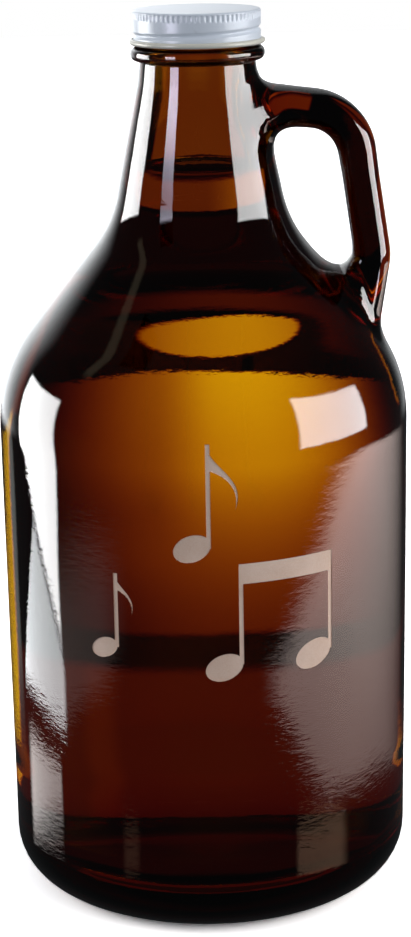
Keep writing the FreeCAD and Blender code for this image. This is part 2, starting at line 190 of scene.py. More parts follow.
def seam(angle, up):
    """The fine raised line where the two mould halves met."""
    off = np.abs((angle + math.pi / 2) % math.pi - math.pi / 2) * 60
    return 0.07 * np.clip(1 - off / 0.3, 0, 1) * ease(up, 6, 14) * (1 - ease(up, 264, 266))


def thread_share(angle, start):
    """How much of its one turn a thread has run at an angle, from 0 to 1."""
    return ((angle - start) % (2 * math.pi)) / (2 * math.pi)


def glass_thread(angle, up):
    """One rounded turn of right-hand thread with ends that run out into the finish."""
    share = thread_share(angle, math.radians(-39))
    ends = ease(share, 0.0, 0.05) * (1 - ease(share, 0.95, 1.0))
    off = np.abs(up - (THREAD_LOW - THREAD_PLAY + PITCH * share))
    flank = 1 - ease(off, 0.35, 1.2)
    return 1.1 * flank * ends


def outer_offset(angle, up):
    """How far the outside stands out from its outline."""
    offset = waviness(angle, up, 0.12) + seam(angle, up)
    return offset + np.where(up > BEAD_TOP, glass_thread(angle, up), 0)


def inner_offset(angle, up):
    """How far the inside stands out from its outline. It is less even than the moulded outside."""
    return waviness(angle + 0.7, up * 1.1 + 9, 0.45)


# ---- meshes ----


def lathe(outline, angles, offset=None):
    """Vertices and faces of an outline turned about Z. A point on the axis becomes one vertex."""
    vertices, faces, rows = [], [], []
    cosine, sine = np.cos(angles), np.sin(angles)
    for across, up in outline:
        if across < 1e-6:
            rows.append([len(vertices)])
            vertices.append((0.0, 0.0, up))
            continue
        radius = np.full(len(angles), across)
        if offset is not None:
            radius = radius + offset(angles, np.full(len(angles), up))
        rows.append(list(range(len(vertices), len(vertices) + len(angles))))
        vertices += list(zip(radius * cosine, radius * sine, np.full(len(angles), up)))
    count = len(angles)
    for row, following in zip(rows, rows[1:]):
        for i in range(count):
            j = (i + 1) % count
            if len(row) == 1:
                faces.append((row[0], following[j], following[i]))
            elif len(following) == 1:
                faces.append((row[i], row[j], following[0]))
            else:
                faces.append((row[i], row[j], following[j], following[i]))
    return vertices, faces


def new_piece(name, vertices, faces):
    """An object from millimetre vertices."""
    mesh = bpy.data.meshes.new(name)
    mesh.from_pydata([tuple(c * MM for c in v) for v in vertices], [], faces)
    mesh.validate()
    piece = bpy.data.objects.new(name, mesh)
    bpy.context.scene.collection.objects.link(piece)
    return piece


def shade_smooth(piece, sharp_degrees=40):
    mesh = piece.data
    mesh.polygons.foreach_set("use_smooth", [True] * len(mesh.polygons))
    mesh.set_sharp_from_angle(angle=math.radians(sharp_degrees))


def combine(base, tool, operation):
    """Boolean of two closed pieces; the tool is used up."""
    change = base.modifiers.new("combine", "BOOLEAN")
    change.operation = operation
    change.solver = "MANIFOLD"
    change.object = tool
    graph = bpy.context.evaluated_depsgraph_get()
    mesh = bpy.data.meshes.new_from_object(base.evaluated_get(graph), depsgraph=graph)
    base.modifiers.clear()
    mesh.materials.clear()
    base.data = mesh
    bpy.data.objects.remove(tool)
    return base


# ---- finger loop ----

LOOP_CORNERS = [(6, 254.9, 0), (47.4, 250.6, 15.5), (54.1, 205.8, 12), (49.0, 176, 0)]
LOOP_PATH = rounded_line(LOOP_CORNERS, lambda up: 0.9)
LOOP_RUN = np.concatenate([[0], np.cumsum(np.linalg.norm(np.diff(LOOP_PATH, axis=0), axis=1))])
LOOP_WAY = np.gradient(LOOP_PATH, axis=0)
LOOP_WAY = LOOP_WAY / np.linalg.norm(LOOP_WAY, axis=1)[:, None]
SECTION_POWER = 2.3


def loop_reach(run):
    """Half the loop's depth in its plane and half its width, which grow towards both roots."""
    neck = 1 - ease(run, 15, 30)
    root = ease(run, LOOP_RUN[-1] - 34, LOOP_RUN[-1] - 6)
    depth = 6.15 - 0.25 * ease(run, 45, 60) + 0.3 * neck + 0.2 * root
    width = 8.2 + 1.4 * neck + 3.2 * root
    return depth, width


def finger_loop():
    """The loop as a closed tube of superellipse sections."""
    around = np.arange(56) * 2 * math.pi / 56
    vertices, faces = [], []
    for point, way, run in zip(LOOP_PATH, LOOP_WAY, LOOP_RUN):
        depth, width = loop_reach(run)
        cosine, sine = np.cos(around), np.sin(around)
        inward = depth * np.sign(cosine) * np.abs(cosine) ** (2 / SECTION_POWER)
        side = width * np.sign(sine) * np.abs(sine) ** (2 / SECTION_POWER)
        normal = np.array([way[1], -way[0]])
        vertices += [(point[0] + normal[0] * n, s, point[1] + normal[1] * n) for n, s in zip(inward, side)]
    count = len(around)
    last = len(LOOP_PATH) - 1
    for row in range(last):
        for i in range(count):
            j = (i + 1) % count
            a, b = row * count, (row + 1) * count
            faces.append((a + i, a + j, b + j, b + i))
    faces.append(tuple(reversed(range(count))))
    faces.append(tuple(range(last * count, (last + 1) * count)))
    return new_piece("loop_tool", vertices, faces)


def loop_field(points):
    """Signed distance to the loop, negative inside, and how far inward of its middle line a point is."""
    gaps = points[:, None, [0, 2]] - LOOP_PATH[None]
    nearest = np.argmin((gaps ** 2).sum(2), axis=1)
    gap = gaps[np.arange(len(points)), nearest]
    way = LOOP_WAY[nearest]
    inward = gap[:, 0] * way[:, 1] - gap[:, 1] * way[:, 0]
    along = (gap * way).sum(1)
    depth, width = loop_reach(LOOP_RUN[nearest] + along)
    p = SECTION_POWER
    across, side = np.abs(inward) / depth, np.abs(points[:, 1]) / width
    level = (across ** p + side ** p + 1e-12) ** (1 / p)
    slope = level ** (1 - p) * np.hypot(across ** (p - 1) / depth, side ** (p - 1) / width)
    return (level - 1) / np.maximum(slope, 1e-6), inward


def jug_field(points, outline):
    """Signed distance to the turned body round the loop's roots, negative inside."""
    radius = np.hypot(points[:, 0], points[:, 1])
    angle = np.arctan2(points[:, 1], points[:, 0])
    up = points[:, 2]
    surface = across_at(outline, up)
    lean = (across_at(outline, up + 0.2) - across_at(outline, up - 0.2)) / 0.4
    return (radius - surface - outer_offset(angle, up)) / np.sqrt(1 + lean ** 2)


ROOTS_FROM, ROOTS_HALF, ROOTS_LOW, ROOTS_HIGH = 8, 26, 150, 266


def near_roots(points):
    """Which points are in the box that holds both of the loop's roots."""
    across, side, up = points.T
    return (across > ROOTS_FROM) & (np.abs(side) < ROOTS_HALF) & (up > ROOTS_LOW) & (up < ROOTS_HIGH)


def root_blend(up, inward):
    """How far the fillet between loop and jug reaches: furthest in the hole's corners."""
    low = 1 - ease(up, 200, 240)
    corner = ease(inward, -3, 5)
    return 5.0 - low + corner * (5.0 + 5.0 * low)


def blend_roots(piece, outline):
    """Move the vertices round the loop's roots onto one surface that flows from jug to loop."""
    side = climbing(outline)
    mesh = piece.data
    points = np.empty(len(mesh.vertices) * 3)
    mesh.vertices.foreach_get("co", points)
    points = points.reshape(-1, 3) / MM
    index = np.nonzero(near_roots(points))[0]

    def joined(p):
        jug = jug_field(p, side)
        loop, inward = loop_field(p)
        reach = root_blend(p[:, 2], inward)
        meet = np.maximum(reach - np.abs(jug - loop), 0) / reach
        return np.minimum(jug, loop) - meet ** 2 * reach / 4, meet

    where = points[index]
    _, meet = joined(where)
    index, where = index[meet > 0], where[meet > 0]
    step = 0.05
    for _ in range(9):
        level, _ = joined(where)
        slope = np.empty_like(where)
        for axis in range(3):
            shift = np.zeros(3)
            shift[axis] = step
            slope[:, axis] = (joined(where + shift)[0] - joined(where - shift)[0]) / (2 * step)
        move = slope * (level / np.maximum((slope ** 2).sum(1), 0.05))[:, None]
        where = where - np.clip(move, -1.5, 1.5)
    points[index] = where
    mesh.vertices.foreach_set("co", (points * MM).ravel())
    mesh.update()


# ---- frosted notes ----


def oval(u, z, length, height, tilt=22, count=48):
    """Points of a tilted ellipse in the unrolled front."""
    turn = math.radians(tilt)
    cosine, sine = math.cos(turn), math.sin(turn)
    points = []
    for i in range(count):
        angle = 2 * math.pi * i / count
        x, y = length * math.cos(angle), height * math.sin(angle)
        points.append((u + x * cosine - y * sine, z + x * sine + y * cosine))
    return points


def bar(u, low, high, width=1.35):
    return [(u - width / 2, low), (u + width / 2, low), (u + width / 2, high), (u - width / 2, high)]


def curve(start, first, second, end, count=18):
    """Points of a cubic curve, without its end."""
    points = []
    for i in range(count):
        s = i / count
        weights = ((1 - s) ** 3, 3 * s * (1 - s) ** 2, 3 * s * s * (1 - s), s ** 3)
        points.append(tuple(np.array(weights) @ np.array([start, first, second, end])))
    return points


def flag(u, top, drop):
    """A curved flag from the stem's top to a point."""

    def at(right, down):
        return (u + right * drop, top - down * drop)

    outside = curve(at(0, 0), at(0.06, 0.36), at(0.62, 0.50), at(0.42, 1.0))
    inside = curve(at(0.42, 1.0), at(0.52, 0.62), at(0.20, 0.42), at(0, 0.38))
    return list(reversed(outside + inside + [at(0, 0.38)]))


def beam(left, right, left_top, right_top, depth):
    return [(left, left_top - depth), (right, right_top - depth), (right, right_top), (left, left_top)]


def note_shapes():
    """Every closed shape of the three notes as (arc length from the front, height) points."""
    return [
        oval(-4.25, 129.1, 5.9, 4.1), bar(0.85, 129.1, 161.2), flag(0.3, 161.2, 20.5),
        oval(-32.9, 95.9, 4.7, 3.1), bar(-28.55, 96.5, 120.1), flag(-29.1, 120.1, 13.2),
        oval(5.1, 91.2, 6.0, 4.1), bar(10.4, 92.0, 123.0),
        oval(34.1, 92.5, 6.6, 4.3), bar(40.1, 93.0, 123.5),
        beam(9.8, 40.8, 123.9, 124.6, 6.4),
    ]


def front_prism(shape):
    """A note's shape run straight through the jug's front."""
    count = len(shape)
    vertices = []
    for depth in (-80, -40):
        vertices += [(BODY * math.sin(u / BODY), depth, z) for u, z in shape]
    faces = [tuple(range(count)), tuple(reversed(range(count, 2 * count)))]
    for i in range(count):
        j = (i + 1) % count
        faces.append((i, i + count, j + count, j))
    return new_piece("note_tool", vertices, faces)


def front_slab(outline, depth):
    """A curved slab in front of the jug whose back lies at a depth below the glass surface."""
    angles = np.radians(np.linspace(-135, -45, 91))
    heights = np.linspace(NOTES_LOW - 2, NOTES_HIGH + 2, 47)
    radius = across_at(climbing(outline), heights)
    vertices, faces = [], []
    for deep in (True, False):
        for r, z in zip(radius, heights):
            for angle in angles:
                reach = r + outer_offset(angle, z) - depth if deep else r + 6
                vertices.append((reach * math.cos(angle), reach * math.sin(angle), z))
    wide, tall = len(angles), len(heights)
    last, top = wide - 1, tall - 1

    def at(layer, row, column):
        return layer * wide * tall + row * wide + column

    for row in range(tall - 1):
        for column in range(wide - 1):
            square = [(row, column), (row, column + 1), (row + 1, column + 1), (row + 1, column)]
            faces.append(tuple(at(1, *corner) for corner in square))
            faces.append(tuple(at(0, *corner) for corner in reversed(square)))
    for row in range(tall - 1):
        faces.append((at(0, row, 0), at(1, row, 0), at(1, row + 1, 0), at(0, row + 1, 0)))
        faces.append((at(1, row, last), at(0, row, last), at(0, row + 1, last), at(1, row + 1, last)))
    for column in range(wide - 1):
        faces.append((at(0, 0, column + 1), at(1, 0, column + 1), at(1, 0, column), at(0, 0, column)))
        faces.append((at(0, top, column), at(1, top, column), at(1, top, column + 1), at(0, top, column + 1)))
    return new_piece("slab_tool", vertices, faces)


ETCH = 0.16


def etch_notes(piece, outline):
    """Sink every note into the glass surface."""
    shapes = note_shapes()
    stencil = front_prism(shapes[0])
    for shape in shapes[1:]:
        combine(stencil, front_prism(shape), "UNION")
    cutter = combine(front_slab(outline, ETCH), stencil, "INTERSECT")
    combine(piece, cutter, "DIFFERENCE")


# ---- glass jug ----


def radii(mesh):
    """Each face centre's angle, radius and height, in millimetres."""
    centres = np.empty(len(mesh.polygons) * 3)
    mesh.polygons.foreach_get("center", centres)
    centres = centres.reshape(-1, 3) / MM
    return np.arctan2(centres[:, 1], centres[:, 0]), np.hypot(centres[:, 0], centres[:, 1]), centres[:, 2]


def open_bore(piece):
    """Open the lip and carry the glass surface down into the bore and round the inside."""
    mesh = piece.data
    vertices, faces = lathe(inner_outline(), columns(), inner_offset)
    work = bmesh.new()
    work.from_mesh(mesh)
    top = LIP * MM
    lid = [f for f in work.faces if all(abs(v.co.z - top) < 1e-6 for v in f.verts)
           and math.hypot(*f.calc_center_median().xy) < (LIP_MIDDLE - 0.05) * MM]
    bmesh.ops.delete(work, geom=lid, context="FACES")
    inside = bpy.data.meshes.new("inside")
    inside.from_pydata([tuple(c * MM for c in v) for v in vertices], [], faces)
    work.from_mesh(inside)
    bpy.data.meshes.remove(inside)
    rim = [v for v in work.verts
           if abs(v.co.z - top) < 1e-6 and abs(math.hypot(*v.co.xy) - LIP_MIDDLE * MM) < 1e-5]
    bmesh.ops.remove_doubles(work, verts=rim, dist=2e-5)
    loose = [v for v in work.verts if not v.link_faces]
    bmesh.ops.delete(work, geom=loose, context="VERTS")
    work.to_mesh(mesh)
    work.free()
    mesh.update()


def make_jug():
    """The glass in one piece, and its outside outline."""
    outline = outer_outline()
    closed = np.vstack([outline, [[0, LIP]]])
    vertices, faces = lathe(closed, columns(), outer_offset)
    jug = new_piece("glass_jug", vertices, faces)
    combine(jug, finger_loop(), "UNION")
    blend_roots(jug, outline)
    etch_notes(jug, outline)
    open_bore(jug)
    return jug, outline


def mark_wet(mesh, faces):
    """Store which faces touch beer on one side and glass on the other."""
    mark = mesh.attributes.new("wet", "FLOAT", "FACE")
    mark.data.foreach_set("value", faces.astype(np.float32))


def mark_jug(piece, outline):
    """Give the frosted floors their own material slot and mark the wet inside."""
    mesh = piece.data
    angle, radius, up = radii(mesh)
    sunk = across_at(climbing(outline), up) + outer_offset(angle, up) - radius
    front = (np.abs(angle + math.pi / 2) < 0.75) & (up > NOTES_LOW) & (up < NOTES_HIGH)
    frosted = front & (sunk > ETCH * 0.45) & (sunk < ETCH * 1.6)
    wall = across_at(inner_outline()[::-1], up) + inner_offset(angle, up)
    floor = (up > FLOOR - 1) & (up < FLOOR + 14) & (radius < 60)
    inside = ((np.abs(radius - wall) < 0.7) | floor) & (up < EVEN_UP)
    wet = inside & (up < FILL + MENISCUS)
    index = np.zeros(len(mesh.polygons), np.int32)
    index[frosted & ~inside] = 1
    mesh.polygons.foreach_set("material_index", index)
    mark_wet(mesh, wet)


# ---- beer ----

MENISCUS_REACH = 1.8
BEER_GAP = 0.03


def beer_outline():
    """From the middle of the floor up the wall to the meniscus and in over the still surface."""
    inner = inner_outline()[::-1]
    wall = [p for p in inner if p[0] > 1e-6 and p[1] < FILL + MENISCUS - 0.6]
    rim = across_at(inner, FILL + MENISCUS)
    points = [(0, FLOOR + FLOOR_CROWN + BEER_GAP)]
    points += [(p[0] - BEER_GAP, max(p[1], FLOOR + BEER_GAP)) for p in wall]
    points.append((rim - BEER_GAP, FILL + MENISCUS))
    wet_edge = len(points)
    for drop in (0.25, 0.6, 1.1, 1.8, 2.8, 4.2, 6.5, 10, 15):
        points.append((rim - BEER_GAP - drop, FILL + MENISCUS * math.exp(-drop / MENISCUS_REACH)))
    points.append((0, FILL))
    return np.array(points), wet_edge


def make_beer():
    """The beer, marked wet where it touches the glass."""
    outline, wet_edge = beer_outline()

    def wall_only(angle, up):
        return inner_offset(angle, up) if up[0] < FILL + MENISCUS + 0.01 else 0 * angle

    vertices, faces = lathe(outline, columns(), wall_only)
    beer = new_piece("beer_fill", vertices, faces)
    _, radius, up = radii(beer.data)
    rim = outline[wet_edge - 1][0]
    mark_wet(beer.data, ~((up > FILL - 0.2) & (radius < rim - 0.02)))
    return beer


# ---- cap and its lined disc ----

SKIRT = 19.7
GAUGE = 0.3
CURL = 0.85
CURL_END = math.radians(115)
FLUTES = 75
FLUTE_LENGTH = 2.7


def flutes(angle, up):
    """Depth of the upright flutes under the rim. Their lower ends are rounded."""
    wave = (0.5 + 0.5 * np.cos(FLUTES * angle)) ** 1.4
    foot = CAP_TOP - FLUTE_LENGTH + 0.45 * (1 - wave)
    return 0.27 * wave * ease(up, foot - 0.25, foot + 0.35) * (1 - ease(up, CAP_TOP - 0.95, CAP_TOP - 0.5))


def rolled_thread(angle, up):
    """Depth of the thread rolled into the skirt, one turn that runs out at both ends."""
    share = thread_share(angle, math.radians(142.4))
    ends = ease(share, 0.0, 0.07) * (1 - ease(share, 0.92, 0.99))
    off = np.abs(up - (THREAD_LOW + PITCH * share))
    return 0.7 * (1 - ease(off, 0.1, 1.1)) * ends


def skirt_offset(angle, up):
    return -flutes(angle, up) - rolled_thread(angle, up)


def cap_outline():
    """The sheet's section from the middle of the inside round the curl to the middle of the top."""
    foot = CAP_LOW + CURL

    def roll(radius, turns):
        return [(SKIRT - GAUGE + CURL + radius * math.cos(t), foot + radius * math.sin(t)) for t in turns]

    def step(fine):
        return lambda up: 1.6 if up > CAP_TOP - 0.35 else fine

    inside = rounded_line(
        [(0, CAP_TOP - GAUGE, 0), (SKIRT - GAUGE, CAP_TOP - GAUGE, 0.4), (SKIRT - GAUGE, foot, 0)], step(0.5))
    outside = rounded_line([(SKIRT, foot, 0), (SKIRT, CAP_TOP, 0.7), (0, CAP_TOP, 0)], step(0.22))
    turns = np.linspace(math.pi, 2 * math.pi + CURL_END, 22)
    hem = roll(CURL, turns[1:])
    return np.vstack([inside, hem, roll(CURL - GAUGE, turns[:0:-1]), outside]), len(inside) + len(hem)


def make_cap():
    outline, lined_rows = cap_outline()
    angles = np.arange(FLUTES * 8) * 2 * math.pi / (FLUTES * 8)
    vertices, faces = lathe(outline, angles, skirt_offset)
    cap = new_piece("cap_metal", vertices, faces)
    outer = np.arange(len(faces)) >= lined_rows * len(angles)
    cap.data.polygons.foreach_set("material_index", np.where(outer, 0, 1).astype(np.int32))
    return cap


def make_layer(name, node, print_depth):
    """A round layer with softened edges. The lip has pressed a ring print_depth deep into its underside."""
    low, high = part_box(node)[0].z / MM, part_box(node)[1].z / MM
    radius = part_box(node)[1].x / MM
    edge = (high - low) * 0.35
    corners = [(0, low, 0), (radius, low, edge), (radius, high, edge), (0, high, 0)]
    outline = rounded_line(corners, lambda up: 0.45)
    under = outline[:, 1] < low + 1e-6
    across = outline[:, 0]
    ring = ease(across, BORE - 0.5, BORE + 0.5) * (1 - ease(across, FINISH - 0.4, FINISH + 0.6))
    outline[:, 1] += np.where(under, print_depth * ring, 0)
    vertices, faces = lathe(outline, columns())
    return new_piece(name, vertices, faces)


# ---- materials ----


class Nodes:
    """Short spellings for building a node tree, which is emptied first and given an output."""

    def __init__(self, tree, kind):
        self.tree = tree
        tree.nodes.clear()
        self.out = self.add(kind)

    def add(self, kind, **inputs):
        """A node whose inputs are set by name, with _ for a space."""
        node = self.tree.nodes.new(kind)
        for name, value in inputs.items():
            self.put(node.inputs[name.replace("_", " ")], value)
        return node

    def put(self, socket, value):
        """Link another node's output to a socket, or set the socket's own value."""
        if isinstance(value, bpy.types.NodeSocket):
            self.tree.links.new(value, socket)
        else:
            socket.default_value = value

    def surface(self, kind, **inputs):
        """A shader that becomes the tree's surface."""
        shader = self.add(kind, **inputs)
        self.put(self.out.inputs["Surface"], shader.outputs[0])
        return shader

    def math(self, operation, *values):
        node = self.tree.nodes.new("ShaderNodeMath")
        node.operation = operation
        for socket, value in zip(node.inputs, values):
            self.put(socket, value)
        return node.outputs[0]

    def chain(self, operation, values):
        """One operation that runs through all the values."""
        whole = values[0]
        for value in values[1:]:
            whole = self.math(operation, whole, value)
        return whole

    def product(self, *factors):
        return self.chain("MULTIPLY", factors)

    def square(self, value):
        return self.math("MULTIPLY", value, value)

    def degrees(self, angle):
        return self.math("MULTIPLY", angle, 180 / math.pi)

    def vector(self, operation, *values):
        """An operation on vectors, which a scale takes its number for last."""
        node = self.tree.nodes.new("ShaderNodeVectorMath")
        node.operation = operation
        sockets = (node.inputs[0], node.inputs["Scale"]) if operation == "SCALE" else node.inputs
        for socket, value in zip(sockets, values):
            self.put(socket, value)
        return node.outputs[0]

    def blend(self, factor, first, second):
        """The first colour at factor 0, the second at 1."""
        mix = self.tree.nodes.new("ShaderNodeMix")
        mix.data_type = "RGBA"
        for i, value in ((0, factor), (6, first), (7, second)):
            self.put(mix.inputs[i], value)
        return mix.outputs[2]

    def spread(self, value, low, high, to_low=0.0, to_high=1.0):
        """The value from low to high moved smoothly onto to_low to to_high. Low may be the larger."""
        node = self.add(
            "ShaderNodeMapRange", Value=value, From_Min=low, From_Max=high, To_Min=to_low, To_Max=to_high)
        node.interpolation_type = "SMOOTHSTEP"
        return node.outputs[0]

    def noise(self, place, scale, detail=2.0, roughness=0.5):
        node = self.add("ShaderNodeTexNoise", Vector=place, Scale=scale, Detail=detail, Roughness=roughness)
        return node.outputs["Fac"]

    def stretched(self, place, scale, turn=0.0):
        """A place scaled along each axis and then turned about Z."""
        return self.add("ShaderNodeMapping", Vector=place, Scale=scale, Rotation=(0, 0, turn)).outputs[0]

    def bump(self, height, distance):
        return self.add("ShaderNodeBump", Height=height, Strength=1.0, Distance=distance).outputs[0]


def new_material(name):
    """A material and its nodes."""
    material = bpy.data.materials.new(name)
    material.use_nodes = True
    return material, Nodes(material.node_tree, "ShaderNodeOutputMaterial")


def object_place(nodes):
    return nodes.add("ShaderNodeTexCoord").outputs["Object"]


AMBER = (0.95, 0.78, 0.0, 1)
AMBER_DENSITY = 500.0
BEER_COLOUR = (0.934, 0.734, 0.0, 1)
BEER_DENSITY = 15.0
RIPPLE = 1.05e-5


def fine_ripple(nodes):
    """A bump of shallow ripples that run mostly round the jug, as moulded glass has."""
    place = object_place(nodes)
    broad = nodes.noise(nodes.stretched(place, (1, 1, 2.6)), 170.0, 3.0, 0.55)
    fine = nodes.noise(nodes.stretched(place, (1, 1, 2.5)), 430.0)
    return nodes.bump(nodes.math("MULTIPLY_ADD", fine, 0.75, broad), RIPPLE)


def clear_material(name, dry_ior, wet_ior, colour, density, rippled):
    """A clear substance whose surface bends light less on the faces marked wet."""
    material, nodes = new_material(name)
    mark = nodes.add("ShaderNodeAttribute")
    mark.attribute_name = "wet"
    bend = nodes.math("MULTIPLY_ADD", mark.outputs["Fac"], wet_ior - dry_ior, dry_ior)
    shader = nodes.surface(
        "ShaderNodeBsdfPrincipled", Base_Color=(1, 1, 1, 1), Roughness=0.0, IOR=bend, Transmission_Weight=1.0)
    if rippled:
        nodes.put(shader.inputs["Normal"], fine_ripple(nodes))
    inside = nodes.add("ShaderNodeVolumeAbsorption", Color=colour, Density=density)
    nodes.put(nodes.out.inputs["Volume"], inside.outputs[0])
    return material


def frosted_material():
    """Sand-blasted glass: a pale grain with patches that were cut a little deeper. Its warm base tones are
    partly the sanded amber glass's own and partly painted light, the amber glow that would shine through from
    behind.
    """
    material, nodes = new_material("frosted_glass")
    place = object_place(nodes)
    patches = nodes.spread(nodes.noise(place, 90.0, 4.0), 0.35, 0.65)
    grain = nodes.noise(place, 2600.0, 3.0, 0.7)
    # Painted light: these warm base tones hold the sanded amber glass's own colour plus a painted amber glow
    # that stands in for light shining through the notes from behind.
    tone = nodes.blend(patches, (0.75, 0.51, 0.37, 1), (0.82, 0.58, 0.44, 1))
    tone = nodes.blend(nodes.spread(grain, 0.3, 0.7, 0.0, 0.25), tone, (0.95, 0.82, 0.74, 1))
    nodes.surface(
        "ShaderNodeBsdfPrincipled", Base_Color=tone, IOR=GLASS_IOR, Normal=nodes.bump(grain, 1.2e-5),
        Roughness=nodes.spread(patches, 0, 1, 0.6, 0.72))
    return material


def lacquer_material(name, colour, worn):
    """Baked lacquer on sheet metal: fine orange peel, a faint drift of tone and lightly rubbed spots."""
    material, nodes = new_material(name)
    place = object_place(nodes)
    drift = nodes.spread(nodes.noise(place, 55.0, 3.0), 0.3, 0.7)
    rubbed = nodes.spread(nodes.noise(place, 420.0, 5.0, 0.65), 0.58, 0.75)
    tone = nodes.blend(drift, colour, tuple(0.955 * c for c in colour[:3]) + (1,))
    tone = nodes.blend(nodes.product(rubbed, 0.35), tone, worn)
    peel = nodes.math("ADD", nodes.noise(place, 1500.0), nodes.product(rubbed, -0.4))
    nodes.surface(
        "ShaderNodeBsdfPrincipled", Base_Color=tone, IOR=1.5, Normal=nodes.bump(peel, 4e-6),
        Roughness=nodes.spread(rubbed, 0, 1, 0.3, 0.42))
    return material


def board_material():
    """Pressed pulp: short fibres lying flat, speckled, quite rough."""
    material, nodes = new_material("pulp_board")
    place = object_place(nodes)
    fibres = nodes.math(
        "MAXIMUM", nodes.noise(nodes.stretched(place, (0.35, 1, 3)), 900.0, 4.0, 0.7),
        nodes.noise(nodes.stretched(place, (1, 0.3, 3), 0.9), 1100.0, 4.0, 0.7))
    specks = nodes.spread(nodes.noise(place, 700.0, 1.0), 0.66, 0.72)
    tone = nodes.blend(nodes.spread(fibres, 0.4, 0.75), (0.46, 0.41, 0.34, 1), (0.66, 0.61, 0.53, 1))
    tone = nodes.blend(specks, tone, (0.24, 0.20, 0.16, 1))
    nodes.surface(
        "ShaderNodeBsdfPrincipled", Base_Color=tone, Roughness=0.92, Normal=nodes.bump(fibres, 3e-5))
    return material


def film_material():
    """Milky sealing film: satin, with a faint grain from the roller and a few dull patches."""
    material, nodes = new_material("sealing_film")
    place = object_place(nodes)
    roller = nodes.noise(nodes.stretched(place, (1, 0.08, 1)), 1200.0)
    dull = nodes.spread(nodes.noise(place, 150.0, 4.0), 0.45, 0.6)
    tone = nodes.blend(dull, (0.83, 0.85, 0.85, 1), (0.76, 0.77, 0.75, 1))
    nodes.surface(
        "ShaderNodeBsdfPrincipled", Base_Color=tone, IOR=1.5, Normal=nodes.bump(roller, 6e-6),
        Roughness=nodes.spread(dull, 0, 1, 0.28, 0.45), Subsurface_Weight=0.15, Subsurface_Scale=0.0004)
    return material


# ---- light by direction ----

WHITE = (1, 1, 1)
PAPER = (0.95, 0.98, 1)
STRAW = (1, 0.8, 0.5)


def right_of(azimuth, soft):
    """A panel's side: it is lit where the azimuth is larger, blurred by soft degrees either way."""
    return (1, 0, azimuth, soft)


def left_of(azimuth, soft):
    return (-1, 0, -azimuth, soft)


def above(elevation, soft, climb=0.0):
    """A panel's foot, at this elevation at azimuth 0 and higher by climb for each degree of azimuth."""
    return (-climb, 1, elevation, soft)


def below(elevation, soft, climb=0.0):
    return (climb, -1, -elevation, soft)


class Sky:
    """Light by direction, in degrees: azimuth 0 is +Y and 90 is +X, elevation 90 is up."""

    def __init__(self, nodes):
        self.nodes = nodes
        way = nodes.add("ShaderNodeTexCoord").outputs["Generated"]
        split = nodes.add("ShaderNodeSeparateXYZ", Vector=way)
        self.azimuth = nodes.degrees(nodes.math("ARCTAN2", split.outputs[0], split.outputs[1]))
        self.elevation = nodes.degrees(nodes.math("ARCSINE", split.outputs[2]))

    def side(self, across, up, limit, soft):
        """1 where across * azimuth + up * elevation is over the limit, 0 where it is under."""
        lean = self.nodes.math("MULTIPLY_ADD", self.elevation, up, self.nodes.product(self.azimuth, across))
        return self.nodes.spread(lean, limit - soft, limit + soft)

    def panel(self, strength, colour, *sides):
        """A patch of light bounded by straight sides."""
        level = self.nodes.product(strength, *[self.side(*edge) for edge in sides])
        return self.nodes.vector("SCALE", colour, level)

    def fading(self, light, fade, start):
        """Light that falls off exponentially below a starting elevation."""
        drop = self.nodes.product(self.nodes.math("SUBTRACT", self.elevation, start), fade)
        return self.nodes.vector("SCALE", light, self.nodes.math("EXPONENT", drop))

    def total(self, parts):
        whole = parts[0]
        for part in parts[1:]:
            whole = self.nodes.vector("ADD", whole, part)
        return whole


def side_boxes(sky):
    """The softbox on the left, its glow on the table, and the window on the right."""
    return [
        sky.panel(
            14, WHITE, right_of(-88, 1.5), left_of(-55, 1.5), below(5.4, 1, -0.11), above(-5.35, 0.1, 0.157)),
        sky.panel(
            6.3, PAPER, right_of(-89, 2), left_of(-44, 2), below(-29.9, 0.1, -0.208),
            below(-5.75, 0.1, 0.157), above(-18.75, 0.3, 0.0286)),
        sky.panel(
            3.2, (1, 0.93, 0.9), right_of(-83, 1.5), left_of(-50, 3), below(-19.8, 0.3, 0.03),
            above(-23.3, 0.7)),
        sky.panel(
            11, WHITE, right_of(78, 1.5), left_of(126, 1.5), below(-0.6, 1, 0.22), above(-2.3, 0.6, -0.038)),
    ]


def warm_reflections(sky):
    """The pink wall low on the right, its fainter twin on the left and two glints on the heel."""
    wall = sky.panel(
        5.2, (1, 0.83, 0.77), right_of(64, 40), below(-5.474, 1.053, -0.1053), above(-21.15, 0.4, -0.018),
        above(-30.1, 0.6, 0.064), below(-13.6, 0.8))
    heel = (above(-24.9, 0.2), below(-23.6, 0.2))
    return [
        sky.fading(wall, 0.17, -16.3),
        sky.panel(
            0.5, (1, 0.8, 0.75), right_of(-125, 12), left_of(-86, 2), below(-17.5, 1.2),
            above(-24.1, 0.5, -0.033)),
        sky.panel(0.9, (1, 0.62, 0.4), right_of(95, 5), left_of(128, 2), *heel),
        sky.panel(0.35, (1, 0.55, 0.35), right_of(-137, 2), left_of(-128, 2), *heel),
    ]


def rims(sky):
    """Grazing reflections along the jug's outline and a streak on its left shoulder."""
    return [
        sky.panel(2.3, PAPER, right_of(-40, 16), left_of(0, 4), above(-12, 1.5)),
        sky.panel(0.5, PAPER, right_of(0, 4), left_of(26, 10), above(-12, 1.5)),
        sky.panel(0.4, (0.95, 1, 0.95), right_of(-43, 2), left_of(-34, 2), above(-20, 2), below(-10, 2)),
        sky.panel(0.3, (1, 0.85, 0.55), right_of(-97, 1.5), left_of(-90, 1.5), above(34, 3), below(62, 6)),
    ]


def mirrored_light(sky):
    """What polished surfaces mirror, in a dark room."""
    room = sky.panel(0.03, (0.9, 0.95, 1))
    return sky.total(side_boxes(sky) + warm_reflections(sky) + rims(sky) + [room])


